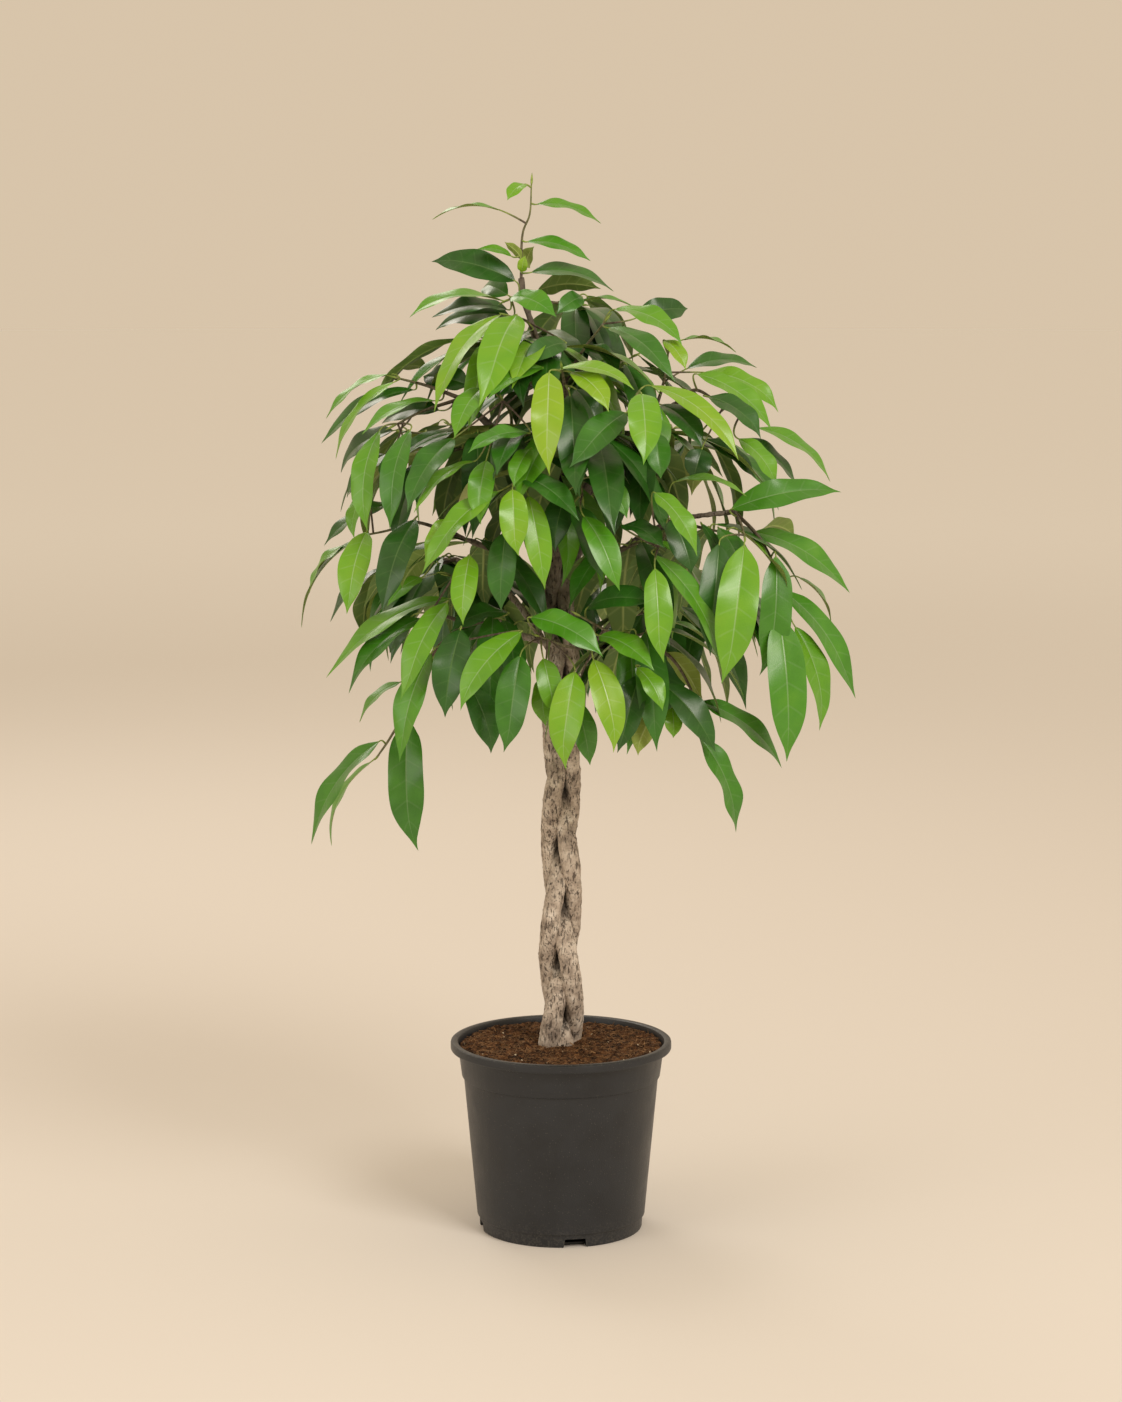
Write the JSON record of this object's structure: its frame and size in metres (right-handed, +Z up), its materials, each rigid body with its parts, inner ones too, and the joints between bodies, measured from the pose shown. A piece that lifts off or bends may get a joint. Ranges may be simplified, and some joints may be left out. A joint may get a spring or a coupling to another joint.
{
  "type": "potted ficus",
  "caption": "Indoor fig tree with plaited bare stems and a domed crown of long drooping leaves, growing in soil in a tapered plastic nursery pot.",
  "frame": {"origin": "centre of the pot's base, on the surface it stands on", "axes": "+Z up along the stems, -Y towards the front of the plant, +X to its right seen from the front"},
  "size_m": [0.5822, 0.4999, 1.1282],
  "materials": {
    "pot_plastic": "moulded satin, charcoal black",
    "soil": "loose fibrous peat, brown",
    "bark": "grey-brown bark with raised pores",
    "leaf": "waxy, glossy above and matt below"
  },
  "bodies": {
    "root": {"crown_left_shoot": "leaf", "crown_right_shoot": "leaf", "front_centre_shoot": "leaf", "front_high_shoot": "leaf", "front_inner_shoot": "leaf", "front_left_shoot": "leaf", "front_low_shoot": "leaf", "front_lowest_shoot": "leaf", "front_right_high_shoot": "leaf", "inner_front_left_shoot": "leaf", "inner_front_right_shoot": "leaf", "inner_high_left_shoot": "leaf", "inner_high_right_shoot": "leaf", "inner_left_shoot": "leaf", "inner_low_left_shoot": "leaf", "inner_low_right_shoot": "leaf", "inner_middle_shoot": "leaf", "inner_rear_left_shoot": "leaf", "inner_rear_right_shoot": "leaf", "inner_right_shoot": "leaf", "inner_side_left_shoot": "leaf", "inner_side_right_shoot": "leaf", "inner_top_front_shoot": "leaf", "inner_top_left_shoot": "leaf", "inner_top_right_shoot": "leaf", "leader_shoot": "leaf", "left_drooping_shoot": "leaf", "left_hanging_shoot": "leaf", "left_high_shoot": "leaf", "left_inner_shoot": "leaf", "left_low_shoot": "leaf", "left_lower_front_shoot": "leaf", "left_side_shoot": "leaf", "nursery_pot": "pot_plastic", "potting_soil": "soil", "rear_high_left_shoot": "leaf", "rear_high_left_side_shoot": "leaf", "rear_high_middle_shoot": "leaf", "rear_high_right_shoot": "leaf", "rear_high_right_side_shoot": "leaf", "rear_low_left_shoot": "leaf", "rear_low_left_side_shoot": "leaf", "rear_low_middle_shoot": "leaf", "rear_low_right_shoot": "leaf", "rear_low_right_side_shoot": "leaf", "rear_top_left_shoot": "leaf", "rear_top_right_shoot": "leaf", "rear_top_shoot": "leaf", "right_front_shoot": "leaf", "right_high_shoot": "leaf", "right_low_shoot": "leaf", "right_lower_shoot": "leaf", "right_outer_shoot": "leaf", "right_side_shoot": "leaf", "right_spreading_shoot": "leaf", "right_upper_shoot": "leaf", "stem_left": "bark", "stem_rear": "bark", "stem_right": "bark", "upper_left_front_shoot": "leaf"}
  },
  "joints": []
}
